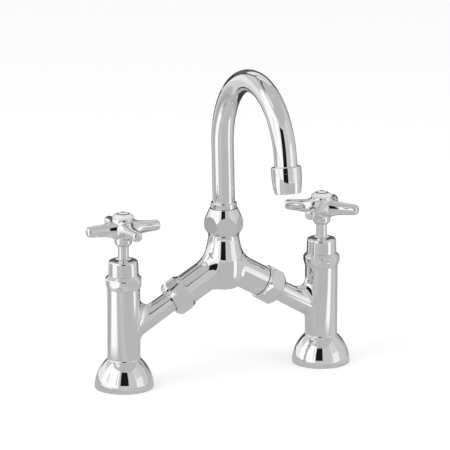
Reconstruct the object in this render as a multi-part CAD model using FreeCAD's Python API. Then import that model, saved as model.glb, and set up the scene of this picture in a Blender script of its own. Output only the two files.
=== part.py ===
"""Bridge kitchen faucet: two pillar taps, a Y-shaped bridge between them and a swivelling swan-neck spout.

Millimetres, +Z up. X runs from the hot tap at -X to the cold tap at +X, and at rest the spout points
to -Y. The origin lies on the worktop, midway between the two taps. Both taps are shut.

Every piece of a tap is made round the Z axis, or in place on the cold side, and then set on its side.
Threads are plain cylinders at their real diameters.
"""

import FreeCAD, Part
import math
import os

Vector = FreeCAD.Vector
ORIGIN = Vector(0, 0, 0)
UP = Vector(0, 0, 1)

# ---- play between pieces ----
RUNNING_PLAY = 0.06
THREAD_PLAY = 0.05
FREE_PLAY = 0.4

# ---- roundings of small edges ----
FINE_EDGE = 0.3
SOFT_EDGE = 0.5
MATCH = 0.0001

# ---- layout ----
TAP_SPACING = 180.0
ARM_SLOPE = 30.0
ARM_HEIGHT = 44.2
SIDE_TURN = {"hot": 180.0, "cold": 0.0}
BONNET_TURN = {"hot": 38.0, "cold": 47.0}
HANDLE_TURN = {"hot": 0.0, "cold": -45.0}
UNION_NUT_TURN = {"hot": 30.0, "cold": 0.0}

# ---- pillar body ----
BASE_RADIUS = 24.35
BASE_SKIRT = 3.0
BASE_HEIGHT = 24.6
BASE_EDGE = 0.8
BASE_RIM = 3.3
BELL_BULGE = 2.3
CREASE_FILLET = 1.0
COLUMN_RADIUS = 13.6
COLUMN_HEIGHT = 84.0
ARM_ROOT_RADIUS = 9.2
ARM_END_RADIUS = 8.5
ARM_FILLET = 8.0
ARM_BORE = 5.5
INLET_RADIUS = 9.3
INLET_DEPTH = 15.0
INLET_WALL = 4.6
FEED_RADIUS = 6.0
CHAMBER_RADIUS = 9.0
BASE_WASHER_THICKNESS = 2.4

# ---- seat ----
SEAT_DROP = 1.5
SEAT_RISE = 3.0
SEAT_TAIL_RADIUS = 7.0
SEAT_TAIL_LENGTH = 7.0
SEAT_FLANGE_RADIUS = 8.3
SEAT_FLANGE_HEIGHT = 1.5
SEAT_LIP_RADIUS = 6.2
SEAT_BORE = 4.9

# ---- jumper valve ----
WASHER_RADIUS = 6.7
WASHER_THICKNESS = 3.2
JUMPER_RIM = 0.8
JUMPER_RIM_DEPTH = 1.4
JUMPER_PLATE = 2.2
JUMPER_STEM_RADIUS = 3.0
JUMPER_STEM_LENGTH = 12.0
STUD_RADIUS = 1.8
WASHER_NUT_FLATS = 5.8
WASHER_NUT_HEIGHT = 2.2

# ---- bonnet ----
BONNET_THREAD_RADIUS = 10.4
BONNET_THREAD_LENGTH = 14.0
BONNET_NOSE_LENGTH = 10.0
BONNET_NOSE_PLAY = 0.15
BONNET_HEX_HEIGHT = 11.3
BONNET_FLATS = 29.2
BONNET_CREST_RADIUS = 15.25
BONNET_CREST_START = 5.1
BONNET_CREST_END = 8.5
BONNET_CREST_ROUNDING = 3.0
BONNET_SHOULDER_ROUNDING = 2.0
BONNET_BORE_LENGTH = 14.0
BONNET_RELIEF_RADIUS = 6.6
BONNET_RELIEF_DROP = 1.0
BONNET_WEB = 4.0
BONNET_RING_SECTION = 0.9
BOSS_RADIUS = 10.2
STUFFING_RADIUS = 6.3
PACKING_HEIGHT = 6.0
GLAND_HEAD = 2.8
GLAND_HEAD_FLATS = 14.0
GLAND_HEAD_RADIUS = 7.6
GLAND_HEAD_PLAY = 1.0

# ---- dome cover ----
COVER_FOOT_RADIUS = 12.45
COVER_TOP_RADIUS = 12.0
COVER_HEIGHT = 12.8
COVER_SHOULDER = 3.2
COVER_SHOULDER_DROP = 0.3
COVER_RIM_RADIUS = 7.8
COVER_RIM_ROUNDING = 0.8
COVER_DISH = 1.1
COVER_CEILING = 2.7
COVER_INNER_ROUNDING = 1.0

# ---- spindle ----
SPINDLE_RADIUS = 4.35
SPINDLE_BARREL_RADIUS = 5.6
SPINDLE_THREAD_RADIUS = 6.0
SPINDLE_THREAD_LENGTH = 10.0
SPINDLE_THREAD_START = 2.0
SPINDLE_SQUARE = 6.1
SPINDLE_SQUARE_LENGTH = 10.0
STEM_BORE_SPARE = 1.0

# ---- cross handle ----
HANDLE_GAP = 11.8
HUB_HEIGHT = 23.5
HUB_TOP_RADIUS = 8.7
HUB_FOOT_RADIUS = 5.4
HUB_FOOT_HEIGHT = 2.2
HUB_FOOT_ROUNDING = 1.6
HUB_NECK_RADIUS = 7.1
HUB_NECK_HEIGHT = 6.5
HUB_NECK_ROUNDING = 3.0
HUB_TOP_HEIGHT = 10.0
HUB_TOP_ROUNDING = 3.0
HANDLE_ARM_HEIGHT = 14.2
HANDLE_ARM_REACH = 32.1
HANDLE_ARM_ROOT = 8.6
HANDLE_FLARE_RADIUS = 7.2
HANDLE_FLARE_PLACE = 9.0
HANDLE_THROAT_RADIUS = 5.9
HANDLE_THROAT_PLACE = 13.0
HANDLE_SHANK_RADIUS = 5.1
HANDLE_SHANK_PLACE = 18.0
HANDLE_ARM_TIP = 3.9
HANDLE_ARM_ROUNDING = 2.6
HANDLE_FILLET = 3.0
SOCKET_NECK = 5.0
HANDLE_WEB = 2.5
SCREW_RADIUS = 2.0
SCREW_LENGTH = 9.0
SCREW_HEAD_RADIUS = 3.5
SCREW_HEAD_HEIGHT = 2.6
SCREW_KEY_FLATS = 2.5
SCREW_KEY_DEPTH = 1.6
INDEX_WELL_RADIUS = 7.2
INDEX_EDGE = 1.2
INDEX_EDGE_ROUNDING = 0.5
INDEX_CROWN = 3.5
INDEX_HOLLOW = 1.0
INDEX_SPIGOT = 3.2
INDEX_SPIGOT_WALL = 1.8
INDEX_RING_SECTION = 0.6

# ---- union nut and its pieces, measured along the sloping arm from the middle of the bridge ----
UNION_START = 39.3
UNION_LENGTH = 16.6
UNION_FLATS = 29.0
UNION_CREST_RADIUS = 17.0
UNION_CREST_START = 4.5
UNION_CREST_END = 11.3
UNION_CREST_ROUNDING = 1.5
UNION_SHOULDER_ROUNDING = 2.0
UNION_LIP_RADIUS = 13.9
UNION_LIP_LENGTH = 1.5
UNION_END_RADIUS = 12.6
UNION_END_ROUNDING = 0.8
UNION_END_WALL = 3.1
UNION_THREAD_RADIUS = 11.6
UNION_THREAD_LENGTH = 8.7
UNION_WASHER_RADIUS = 10.8
UNION_WASHER_THICKNESS = 1.5
CLIP_THICKNESS = 1.6
CLIP_DEPTH = 0.8
CLIP_RADIUS = 10.8
CLIP_GAP = 3.0

# ---- bridge body ----
BRIDGE_ARM_RADIUS = 12.8
BRIDGE_BORE = 6.5
BRIDGE_TOP_FILLET = 24.0
BRIDGE_UNDER_FILLET = 8.0
NECK_RADIUS = 12.7
NECK_HEIGHT = 23.7
FLARE_RADIUS = 14.1
FLARE_RISE = 14.7
WAIST_RADIUS = 16.0
WAIST_RISE = 5.9
BELLY_RADIUS = 16.4
BELLY_DROP = 4.1
HAUNCH_RADIUS = 15.0
HAUNCH_DROP = 14.1
FOOT_RADIUS = 10.5
FOOT_DROP = 20.7
NECK_THREAD_RADIUS = 11.7
NECK_THREAD_LENGTH = 10.1

# ---- spout nut ----
SPOUT_NUT_HEIGHT = 22.4
SPOUT_NUT_FLATS = 28.4
SPOUT_NUT_CREST_RADIUS = 16.4
SPOUT_NUT_FOOT_RADIUS = 12.2
SPOUT_NUT_TOP_RADIUS = 11.6
SPOUT_NUT_TURN = 15.0
SPOUT_NUT_CREST_START = 5.8
SPOUT_NUT_CREST_END = 11.8
SPOUT_NUT_CREST_ROUNDING = 5.0
SPOUT_NUT_TAPER_ROUNDING = 4.0

# ---- spout tail ----
TAIL_RADIUS = 8.0
TAIL_BORE = 5.0
TAIL_LENGTH = 27.0
TAIL_FLANGE_RADIUS = 11.3
TAIL_FLANGE_HEIGHT = 2.5
TAIL_SPIGOT_LENGTH = 8.0
TAIL_LEAD = 0.8
BEARING_THICKNESS = 1.0
TAIL_RING_SECTION = 0.9
TAIL_RING_END_PLAY = 0.2
TAIL_RING_SPACING = 8.0
TAIL_RING_DROP = 8.0

# ---- spout ----
TUBE_RADIUS = 9.1
TUBE_WALL = 1.2
COLLAR_FOOT_RADIUS = 10.9
COLLAR_TOP_RADIUS = 10.6
COLLAR_HEIGHT = 4.6
COLLAR_ROUNDING = 1.4
COLLAR_LIFT = 0.3
LEG_STRAIGHT = 10.0
LEG_BEND_RADIUS = 60.0
LEG_LEAN = 3.0
LEG_LENGTH = 40.1
ARCH_RADIUS = 60.2
ARCH_TURN = 173.0
OUTLET_STRAIGHT = 7.0

# ---- spout end ----
OUTLET_RADIUS = 12.0
OUTLET_HEIGHT = 5.5
OUTLET_SHOULDER = 2.6
OUTLET_SEAM = 0.2
OUTLET_SOCKET = 9.0
OUTLET_THREAD_RADIUS = 10.4
OUTLET_THREAD_LENGTH = 6.5
SHELL_LENGTH = 16.3
SHELL_BULGE = 0.55
SHELL_MOUTH_RADIUS = 10.2
SHELL_MOUTH_ROUNDING = 0.7
SHELL_LIP = 1.8
SHELL_LIP_WIDTH = 2.0
SHELL_BORE = 9.6
AERATOR_WASHER_THICKNESS = 1.8
AERATOR_WASHER_BORE = 7.3
AERATOR_WALL = 1.0
AERATOR_PLATE = 1.0
AERATOR_PLATE_INSET = 1.2
AERATOR_HOLE_RADIUS = 0.55
AERATOR_HOLE_PITCH = 2.1
AERATOR_HOLE_ROWS = 3

# ---- levels worked out from the sizes above ----
SLOPE = math.radians(ARM_SLOPE)
HALF_SPACING = TAP_SPACING / 2
CROSSING_HEIGHT = ARM_HEIGHT + HALF_SPACING * math.tan(SLOPE)
PILLAR_DISTANCE = HALF_SPACING / math.cos(SLOPE)

SEAT_TOP = ARM_HEIGHT + CHAMBER_RADIUS * math.tan(SLOPE) - ARM_BORE / math.cos(SLOPE) - SEAT_DROP
CHAMBER_FLOOR = SEAT_TOP - SEAT_RISE
PLATE_BOTTOM = SEAT_TOP + WASHER_THICKNESS
PLATE_TOP = PLATE_BOTTOM + JUMPER_PLATE

BONNET_THREAD_BOTTOM = COLUMN_HEIGHT - BONNET_THREAD_LENGTH
BONNET_BOTTOM = BONNET_THREAD_BOTTOM - BONNET_NOSE_LENGTH
BONNET_RELIEF_BOTTOM = BONNET_BOTTOM + BONNET_BORE_LENGTH
BONNET_RELIEF_TOP = COLUMN_HEIGHT - BONNET_RELIEF_DROP
PACKING_BOTTOM = BONNET_RELIEF_TOP + BONNET_WEB
PACKING_TOP = PACKING_BOTTOM + PACKING_HEIGHT
HEX_TOP = COLUMN_HEIGHT + BONNET_HEX_HEIGHT
COVER_TOP = HEX_TOP + COVER_HEIGHT
COVER_CEILING_LEVEL = COVER_TOP - COVER_CEILING
BOSS_TOP = COVER_CEILING_LEVEL - GLAND_HEAD - GLAND_HEAD_PLAY

HUB_BOTTOM = COVER_TOP + HANDLE_GAP
SQUARE_BOTTOM = HUB_BOTTOM + SOCKET_NECK
SQUARE_TOP = SQUARE_BOTTOM + SPINDLE_SQUARE_LENGTH
INDEX_WELL_BOTTOM = SQUARE_TOP + HANDLE_WEB
HUB_TOP = HUB_BOTTOM + HUB_HEIGHT

UNION_END = UNION_START + UNION_LENGTH
BRIDGE_ARM_END = UNION_START - FREE_PLAY
BRIDGE_FACE = BRIDGE_ARM_END + UNION_THREAD_LENGTH + FREE_PLAY
PILLAR_ARM_END = BRIDGE_FACE + UNION_WASHER_THICKNESS
CLIP_END = UNION_END - UNION_END_WALL
CLIP_START = CLIP_END - CLIP_THICKNESS

NECK_TOP = CROSSING_HEIGHT + NECK_HEIGHT
SPOUT_NUT_BOTTOM = NECK_TOP + FREE_PLAY
NECK_FACE = NECK_TOP + NECK_THREAD_LENGTH
FLANGE_BOTTOM = NECK_FACE + BEARING_THICKNESS
FLANGE_TOP = FLANGE_BOTTOM + TAIL_FLANGE_HEIGHT
SPOUT_NUT_SHOULDER = FLANGE_TOP + BEARING_THICKNESS
SPOUT_NUT_TOP = SPOUT_NUT_BOTTOM + SPOUT_NUT_HEIGHT
TAIL_BOTTOM = FLANGE_BOTTOM - TAIL_LENGTH
TUBE_BORE = TUBE_RADIUS - TUBE_WALL

OUTLET_NOSE_END = OUTLET_HEIGHT + OUTLET_THREAD_LENGTH
AERATOR_TOP = OUTLET_NOSE_END + AERATOR_WASHER_THICKNESS
SHELL_END = OUTLET_HEIGHT + SHELL_LENGTH
AERATOR_END = SHELL_END - SHELL_LIP


# ---- shaping ----
def rounded_corner(before, corner, after, radius):
    """Start, middle and end of the arc that rounds a corner, cut down where its sides are too short."""
    to_before = before - corner
    to_after = after - corner
    shortest = min(to_before.Length, to_after.Length)
    to_before.normalize()
    to_after.normalize()
    half = to_before.getAngle(to_after) / 2
    reach = min(radius / math.tan(half), 0.48 * shortest)
    radius = reach * math.tan(half)
    inward = to_before + to_after
    inward.normalize()
    centre = corner + inward * (radius / math.sin(half))
    return corner + to_before * reach, centre - inward * radius, corner + to_after * reach


def outline(points):
    """Closed wire in the XZ plane.

    A point is (r, z), or (r, z, radius) for a rounded corner, or (r, z, 0, via) for the end of an arc
    that starts at the point before it and passes through via.
    """
    places = [Vector(point[0], 0, point[1]) for point in points]
    edges = []
    pen = None
    first = None
    for index, point in enumerate(points):
        corner = places[index]
        radius = point[2] if len(point) > 2 else 0.0
        start, middle, end = corner, None, corner
        if radius > 0:
            after = places[(index + 1) % len(points)]
            start, middle, end = rounded_corner(places[index - 1], corner, after, radius)
        if pen is None:
            first = start
        elif len(point) > 3:
            edges.append(Part.Arc(pen, Vector(point[3][0], 0, point[3][1]), start).toShape())
        elif pen.distanceToPoint(start) > 1e-6:
            edges.append(Part.makeLine(pen, start))
        if middle is not None:
            edges.append(Part.Arc(start, middle, end).toShape())
        pen = end
    edges.append(Part.makeLine(pen, first))
    return Part.Wire(edges)


def turned(points):
    """Solid turned about the Z axis from an outline of (r, z) points."""
    return Part.Face(outline(points)).revolve(ORIGIN, UP, 360)


def smooth_turned(places):
    """Turn one smooth curve through (radius, level) pairs round the Z axis, with flat ends."""
    points = [Vector(radius, 0, level) for radius, level in places]
    curve = Part.BSplineCurve()
    curve.interpolate(points)
    start = Vector(0, 0, points[0].z)
    end = Vector(0, 0, points[-1].z)
    wire = Part.Wire([
        curve.toShape(),
        Part.makeLine(points[-1], end),
        Part.makeLine(end, start),
        Part.makeLine(start, points[0]),
    ])
    return Part.Face(wire).revolve(ORIGIN, UP, 360)


def disc(radius, bottom, top):
    return Part.makeCylinder(radius, top - bottom, Vector(0, 0, bottom))


def ring(inner, outer, bottom, top, edge=0.0):
    """Plain ring, with its four edges rounded by the radius edge."""
    corners = [(inner, bottom), (outer, bottom), (outer, top), (inner, top)]
    return turned([(r, z, edge) for r, z in corners])


def rubber_ring(middle_radius, section, level):
    """Ring of round section."""
    return Part.makeTorus(middle_radius, section, Vector(0, 0, level))


def hex_bar(flats, bottom, top, turn=0.0):
    """Hexagonal bar along Z, with a flat facing the angle turn."""
    corner = flats / 2 / math.cos(math.radians(30))
    angles = [math.radians(turn + 30 + 60 * step) for step in range(7)]
    points = [Vector(corner * math.cos(a), corner * math.sin(a), bottom) for a in angles]
    return Part.Face(Part.makePolygon(points)).extrude(Vector(0, 0, top - bottom))


def square_bar(width, bottom, top):
    corner = Vector(-width / 2, -width / 2, bottom)
    return Part.makeBox(width, width, top - bottom, corner)


def fillet_junction(shape, radius):
    """Round the curved edges where two turned surfaces run into each other."""
    edges = [edge for edge in shape.Edges if "BSpline" in edge.Curve.TypeId]
    return shape.makeFillet(radius, edges)


def level_circles(shape, radius, level):
    """Edges of a turned shape that lie at one radius and one level."""
    found = []
    for edge in shape.Edges:
        point = edge.Vertexes[0].Point
        flat = edge.BoundBox.ZLength < MATCH
        if flat and abs(point.z - level) < MATCH and abs(math.hypot(point.x, point.y) - radius) < MATCH:
            found.append(edge)
    return found


# ---- setting pieces in place ----
def on_tap(shape, side, turn=0.0):
    """Set a piece made round the Z axis on the axis of one tap."""
    placed = shape.copy()
    placed.rotate(ORIGIN, UP, turn)
    offset = HALF_SPACING if side == "cold" else -HALF_SPACING
    placed.translate(Vector(offset, 0, 0))
    return placed


def on_side(shape, side):
    """Keep a piece made in place on the cold side, or swing it round to the hot side."""
    placed = shape.copy()
    placed.rotate(ORIGIN, UP, SIDE_TURN[side])
    return placed


def along_arm(shape):
    """Lay a piece made round the Z axis along the cold arm, with Z measured from the arms' crossing."""
    placed = shape.copy()
    rotation = FreeCAD.Rotation(Vector(0, 1, 0), 90 + ARM_SLOPE)
    placed.Placement = FreeCAD.Placement(Vector(0, 0, CROSSING_HEIGHT), rotation).multiply(placed.Placement)
    return placed


# ---- pillar and seat ----
def pillar():
    """Bell base, column and side arm in one casting, bored for the inlet, seat, chamber and arm."""
    chord = Vector(COLUMN_RADIUS - BASE_RADIUS, 0, BASE_HEIGHT - BASE_SKIRT)
    outward = Vector(chord.z, 0, -chord.x)
    outward.normalize()
    middle = Vector(BASE_RADIUS, 0, BASE_SKIRT) + chord * 0.5 + outward * BELL_BULGE
    body = turned([
        (0, 0),
        (BASE_RADIUS, 0, BASE_EDGE),
        (BASE_RADIUS, BASE_SKIRT),
        (COLUMN_RADIUS, BASE_HEIGHT, 0, (middle.x, middle.z)),
        (COLUMN_RADIUS, COLUMN_HEIGHT),
        (0, COLUMN_HEIGHT),
    ])
    body = body.makeFillet(CREASE_FILLET, level_circles(body, COLUMN_RADIUS, BASE_HEIGHT))
    body.translate(Vector(HALF_SPACING, 0, 0))
    length = PILLAR_DISTANCE - PILLAR_ARM_END
    arm = Part.makeCone(ARM_END_RADIUS, ARM_ROOT_RADIUS, length, Vector(0, 0, PILLAR_ARM_END))
    body = fillet_junction(body.fuse(along_arm(arm)), ARM_FILLET)
    inside = [
        disc(INLET_RADIUS, 0, INLET_DEPTH),
        ring(washer_groove_inner(), BASE_RADIUS - BASE_RIM, 0, BASE_WASHER_THICKNESS),
        disc(FEED_RADIUS, INLET_DEPTH, CHAMBER_FLOOR),
        disc(SEAT_TAIL_RADIUS + THREAD_PLAY, CHAMBER_FLOOR - SEAT_TAIL_LENGTH, CHAMBER_FLOOR),
        disc(CHAMBER_RADIUS, CHAMBER_FLOOR, BONNET_THREAD_BOTTOM),
        disc(BONNET_THREAD_RADIUS + THREAD_PLAY, BONNET_THREAD_BOTTOM, COLUMN_HEIGHT),
        rubber_ring(BONNET_THREAD_RADIUS, BONNET_RING_SECTION, COLUMN_HEIGHT),
    ]
    body = body.cut([on_tap(cutter, "cold") for cutter in inside])
    arm_bore = disc(ARM_BORE, PILLAR_ARM_END, PILLAR_DISTANCE)
    clip_groove = ring(clip_inner(), ARM_ROOT_RADIUS + CLIP_DEPTH, CLIP_START, CLIP_END)
    return body.cut([along_arm(arm_bore), along_arm(clip_groove)])


def washer_groove_inner():
    return INLET_RADIUS + INLET_WALL


def base_washer():
    """Flat rubber washer in the groove under the base, level with its rim."""
    outer = BASE_RADIUS - BASE_RIM
    return ring(washer_groove_inner(), outer, 0, BASE_WASHER_THICKNESS)


def seat():
    """Screwed seat with a raised lip that the jumper's washer closes on."""
    return turned([
        (SEAT_BORE, CHAMBER_FLOOR - SEAT_TAIL_LENGTH),
        (SEAT_TAIL_RADIUS, CHAMBER_FLOOR - SEAT_TAIL_LENGTH, SOFT_EDGE),
        (SEAT_TAIL_RADIUS, CHAMBER_FLOOR),
        (SEAT_FLANGE_RADIUS, CHAMBER_FLOOR),
        (SEAT_FLANGE_RADIUS, CHAMBER_FLOOR + SEAT_FLANGE_HEIGHT, SOFT_EDGE),
        (SEAT_LIP_RADIUS, CHAMBER_FLOOR + SEAT_FLANGE_HEIGHT),
        (SEAT_LIP_RADIUS, SEAT_TOP, FINE_EDGE),
        (SEAT_BORE, SEAT_TOP, FINE_EDGE),
    ])


# ---- jumper valve: rises with the spindle and doesn't turn ----
def jumper():
    """Plate with a rim round the washer, a stud through it and a stem in the spindle's bore."""
    rim_outer = WASHER_RADIUS + JUMPER_RIM
    stud_bottom = SEAT_TOP - WASHER_NUT_HEIGHT
    return turned([
        (0, stud_bottom),
        (STUD_RADIUS, stud_bottom, FINE_EDGE),
        (STUD_RADIUS, PLATE_BOTTOM),
        (WASHER_RADIUS, PLATE_BOTTOM),
        (WASHER_RADIUS, PLATE_BOTTOM - JUMPER_RIM_DEPTH),
        (rim_outer, PLATE_BOTTOM - JUMPER_RIM_DEPTH),
        (rim_outer, PLATE_TOP, SOFT_EDGE),
        (JUMPER_STEM_RADIUS, PLATE_TOP),
        (JUMPER_STEM_RADIUS, PLATE_TOP + JUMPER_STEM_LENGTH, SOFT_EDGE),
        (0, PLATE_TOP + JUMPER_STEM_LENGTH),
    ])


def valve_washer():
    return ring(STUD_RADIUS, WASHER_RADIUS, SEAT_TOP, PLATE_BOTTOM)


def washer_nut():
    nut = hex_bar(WASHER_NUT_FLATS, SEAT_TOP - WASHER_NUT_HEIGHT, SEAT_TOP)
    return nut.cut(disc(STUD_RADIUS, SEAT_TOP - WASHER_NUT_HEIGHT, SEAT_TOP))


# ---- bonnet and its seals ----
def bonnet():
    """Headwork: screwed tail, swollen hexagon, threaded boss for the cover, and the stuffing box."""
    nose_radius = CHAMBER_RADIUS - BONNET_NOSE_PLAY
    swelling = turned([
        (0, COLUMN_HEIGHT),
        (COLUMN_RADIUS, COLUMN_HEIGHT, FINE_EDGE),
        (BONNET_CREST_RADIUS, COLUMN_HEIGHT + BONNET_CREST_START, BONNET_CREST_ROUNDING),
        (BONNET_CREST_RADIUS, COLUMN_HEIGHT + BONNET_CREST_END, BONNET_SHOULDER_ROUNDING),
        (COVER_FOOT_RADIUS, HEX_TOP, FINE_EDGE),
        (0, HEX_TOP),
    ])
    hexagon = swelling.common(hex_bar(BONNET_FLATS, COLUMN_HEIGHT, HEX_TOP))
    body = hexagon.fuse([
        turned([
            (0, BONNET_BOTTOM),
            (nose_radius, BONNET_BOTTOM, SOFT_EDGE),
            (nose_radius, BONNET_THREAD_BOTTOM),
            (BONNET_THREAD_RADIUS, BONNET_THREAD_BOTTOM, SOFT_EDGE),
            (BONNET_THREAD_RADIUS, COLUMN_HEIGHT),
            (0, COLUMN_HEIGHT),
        ]),
        disc(BOSS_RADIUS, HEX_TOP, BOSS_TOP),
    ]).removeSplitter()
    return body.cut([
        disc(SPINDLE_THREAD_RADIUS + RUNNING_PLAY, BONNET_BOTTOM, BONNET_RELIEF_BOTTOM),
        disc(BONNET_RELIEF_RADIUS, BONNET_RELIEF_BOTTOM, BONNET_RELIEF_TOP),
        disc(SPINDLE_RADIUS + RUNNING_PLAY, BONNET_RELIEF_TOP, PACKING_BOTTOM),
        disc(STUFFING_RADIUS, PACKING_BOTTOM, BOSS_TOP),
        rubber_ring(BONNET_THREAD_RADIUS, BONNET_RING_SECTION, COLUMN_HEIGHT),
    ])


def bonnet_ring():
    """Rubber ring that seals the bonnet to the top of the column."""
    return rubber_ring(BONNET_THREAD_RADIUS, BONNET_RING_SECTION, COLUMN_HEIGHT)


def gland_packing():
    return ring(SPINDLE_RADIUS + RUNNING_PLAY, STUFFING_RADIUS, PACKING_BOTTOM, PACKING_TOP)


def gland_nut():
    """Hexagon-headed nut that presses the packing down on the spindle."""
    head = hex_bar(GLAND_HEAD_FLATS, BOSS_TOP, BOSS_TOP + GLAND_HEAD)
    head = head.common(disc(GLAND_HEAD_RADIUS, BOSS_TOP, BOSS_TOP + GLAND_HEAD))
    body = head.fuse(disc(STUFFING_RADIUS - THREAD_PLAY, PACKING_TOP, BOSS_TOP)).removeSplitter()
    return body.cut(disc(SPINDLE_RADIUS + RUNNING_PLAY, PACKING_TOP, BOSS_TOP + GLAND_HEAD))


def dome_cover():
    """Screwed cover over the gland: near-upright wall, rounded shoulder and a dished top."""
    shell = turned([
        (0, HEX_TOP),
        (COVER_FOOT_RADIUS, HEX_TOP, FINE_EDGE),
        (COVER_TOP_RADIUS, COVER_TOP - COVER_SHOULDER_DROP, COVER_SHOULDER),
        (COVER_RIM_RADIUS, COVER_TOP, COVER_RIM_ROUNDING),
        (SPINDLE_RADIUS + FREE_PLAY, COVER_TOP - COVER_DISH),
        (0, COVER_TOP - COVER_DISH),
    ])
    cavity = turned([
        (0, HEX_TOP),
        (BOSS_RADIUS + THREAD_PLAY, HEX_TOP),
        (BOSS_RADIUS + THREAD_PLAY, COVER_CEILING_LEVEL, COVER_INNER_ROUNDING),
        (0, COVER_CEILING_LEVEL),
    ])
    hole = disc(SPINDLE_RADIUS + FREE_PLAY, COVER_CEILING_LEVEL, COVER_TOP)
    return shell.cut([cavity, hole])


# ---- spindle and cross handle: turn together ----
def spindle():
    """Rising spindle: bored for the jumper's stem, threaded, plain through the gland, square at the top."""
    thread_bottom = BONNET_BOTTOM + SPINDLE_THREAD_START
    thread_top = thread_bottom + SPINDLE_THREAD_LENGTH
    body = turned([
        (0, PLATE_TOP),
        (SPINDLE_BARREL_RADIUS, PLATE_TOP, SOFT_EDGE),
        (SPINDLE_BARREL_RADIUS, thread_bottom),
        (SPINDLE_THREAD_RADIUS, thread_bottom),
        (SPINDLE_THREAD_RADIUS, thread_top),
        (SPINDLE_RADIUS, thread_top + SPINDLE_THREAD_RADIUS - SPINDLE_RADIUS),
        (SPINDLE_RADIUS, SQUARE_BOTTOM),
        (0, SQUARE_BOTTOM),
    ])
    square = square_bar(SPINDLE_SQUARE, SQUARE_BOTTOM, SQUARE_TOP).common(
        disc(SPINDLE_RADIUS, SQUARE_BOTTOM, SQUARE_TOP)
    )
    body = body.fuse(square).removeSplitter()
    stem_bore_top = PLATE_TOP + JUMPER_STEM_LENGTH + STEM_BORE_SPARE
    stem_bore = disc(JUMPER_STEM_RADIUS + RUNNING_PLAY, PLATE_TOP, stem_bore_top)
    screw_bottom = INDEX_WELL_BOTTOM - SCREW_LENGTH
    return body.cut([stem_bore, disc(SCREW_RADIUS, screw_bottom, SQUARE_TOP)])


def handle_bar():
    """Two opposite arms in one bar along X: flared in the middle, slimmer outwards, with rounded ends."""
    half = [
        (HANDLE_FLARE_RADIUS, HANDLE_FLARE_PLACE),
        (HANDLE_THROAT_RADIUS, HANDLE_THROAT_PLACE),
        (HANDLE_SHANK_RADIUS, HANDLE_SHANK_PLACE),
        (HANDLE_ARM_TIP, HANDLE_ARM_REACH),
    ]
    other_half = [(radius, -place) for radius, place in reversed(half)]
    bar = smooth_turned(other_half + [(HANDLE_ARM_ROOT, 0)] + half)
    ends = level_circles(bar, HANDLE_ARM_TIP, -HANDLE_ARM_REACH)
    ends += level_circles(bar, HANDLE_ARM_TIP, HANDLE_ARM_REACH)
    bar = bar.makeFillet(HANDLE_ARM_ROUNDING, ends)
    bar.rotate(ORIGIN, Vector(0, 1, 0), 90)
    bar.translate(Vector(0, 0, HUB_BOTTOM + HANDLE_ARM_HEIGHT))
    return bar


def handle():
    """Cross handle: necked hub, two crossed bars, square socket below and a well for the index above."""
    body = turned([
        (0, HUB_BOTTOM),
        (HUB_FOOT_RADIUS, HUB_BOTTOM, SOFT_EDGE),
        (HUB_NECK_RADIUS, HUB_BOTTOM + HUB_FOOT_HEIGHT, HUB_FOOT_ROUNDING),
        (HUB_NECK_RADIUS, HUB_BOTTOM + HUB_NECK_HEIGHT, HUB_NECK_ROUNDING),
        (HUB_TOP_RADIUS, HUB_BOTTOM + HUB_TOP_HEIGHT, HUB_TOP_ROUNDING),
        (HUB_TOP_RADIUS, HUB_TOP, FINE_EDGE),
        (0, HUB_TOP),
    ])
    bar = handle_bar()
    crossed = bar.copy()
    crossed.rotate(ORIGIN, UP, 90)
    body = fillet_junction(body.fuse([bar, crossed]).removeSplitter(), HANDLE_FILLET)
    socket_square = SPINDLE_SQUARE + 2 * THREAD_PLAY
    socket_round = disc(SPINDLE_RADIUS + THREAD_PLAY, SQUARE_BOTTOM, SQUARE_TOP)
    return body.cut([
        disc(SPINDLE_RADIUS + THREAD_PLAY, HUB_BOTTOM, SQUARE_BOTTOM),
        square_bar(socket_square, SQUARE_BOTTOM, SQUARE_TOP).common(socket_round),
        disc(SCREW_RADIUS + THREAD_PLAY, SQUARE_TOP, INDEX_WELL_BOTTOM),
        disc(INDEX_WELL_RADIUS, INDEX_WELL_BOTTOM, HUB_TOP),
    ])


def handle_screw():
    """Socket-headed screw that holds the handle down on the spindle's square."""
    head_top = INDEX_WELL_BOTTOM + SCREW_HEAD_HEIGHT
    screw = turned([
        (0, INDEX_WELL_BOTTOM - SCREW_LENGTH),
        (SCREW_RADIUS, INDEX_WELL_BOTTOM - SCREW_LENGTH, SOFT_EDGE),
        (SCREW_RADIUS, INDEX_WELL_BOTTOM),
        (SCREW_HEAD_RADIUS, INDEX_WELL_BOTTOM),
        (SCREW_HEAD_RADIUS, head_top, SOFT_EDGE),
        (0, head_top),
    ])
    return screw.cut(hex_bar(SCREW_KEY_FLATS, head_top - SCREW_KEY_DEPTH, head_top))


def index_ring():
    """Rubber ring in the groove of the index disc's spigot."""
    middle = INDEX_WELL_RADIUS - INDEX_RING_SECTION - THREAD_PLAY
    return rubber_ring(middle, INDEX_RING_SECTION, HUB_TOP - INDEX_SPIGOT / 2)


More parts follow.
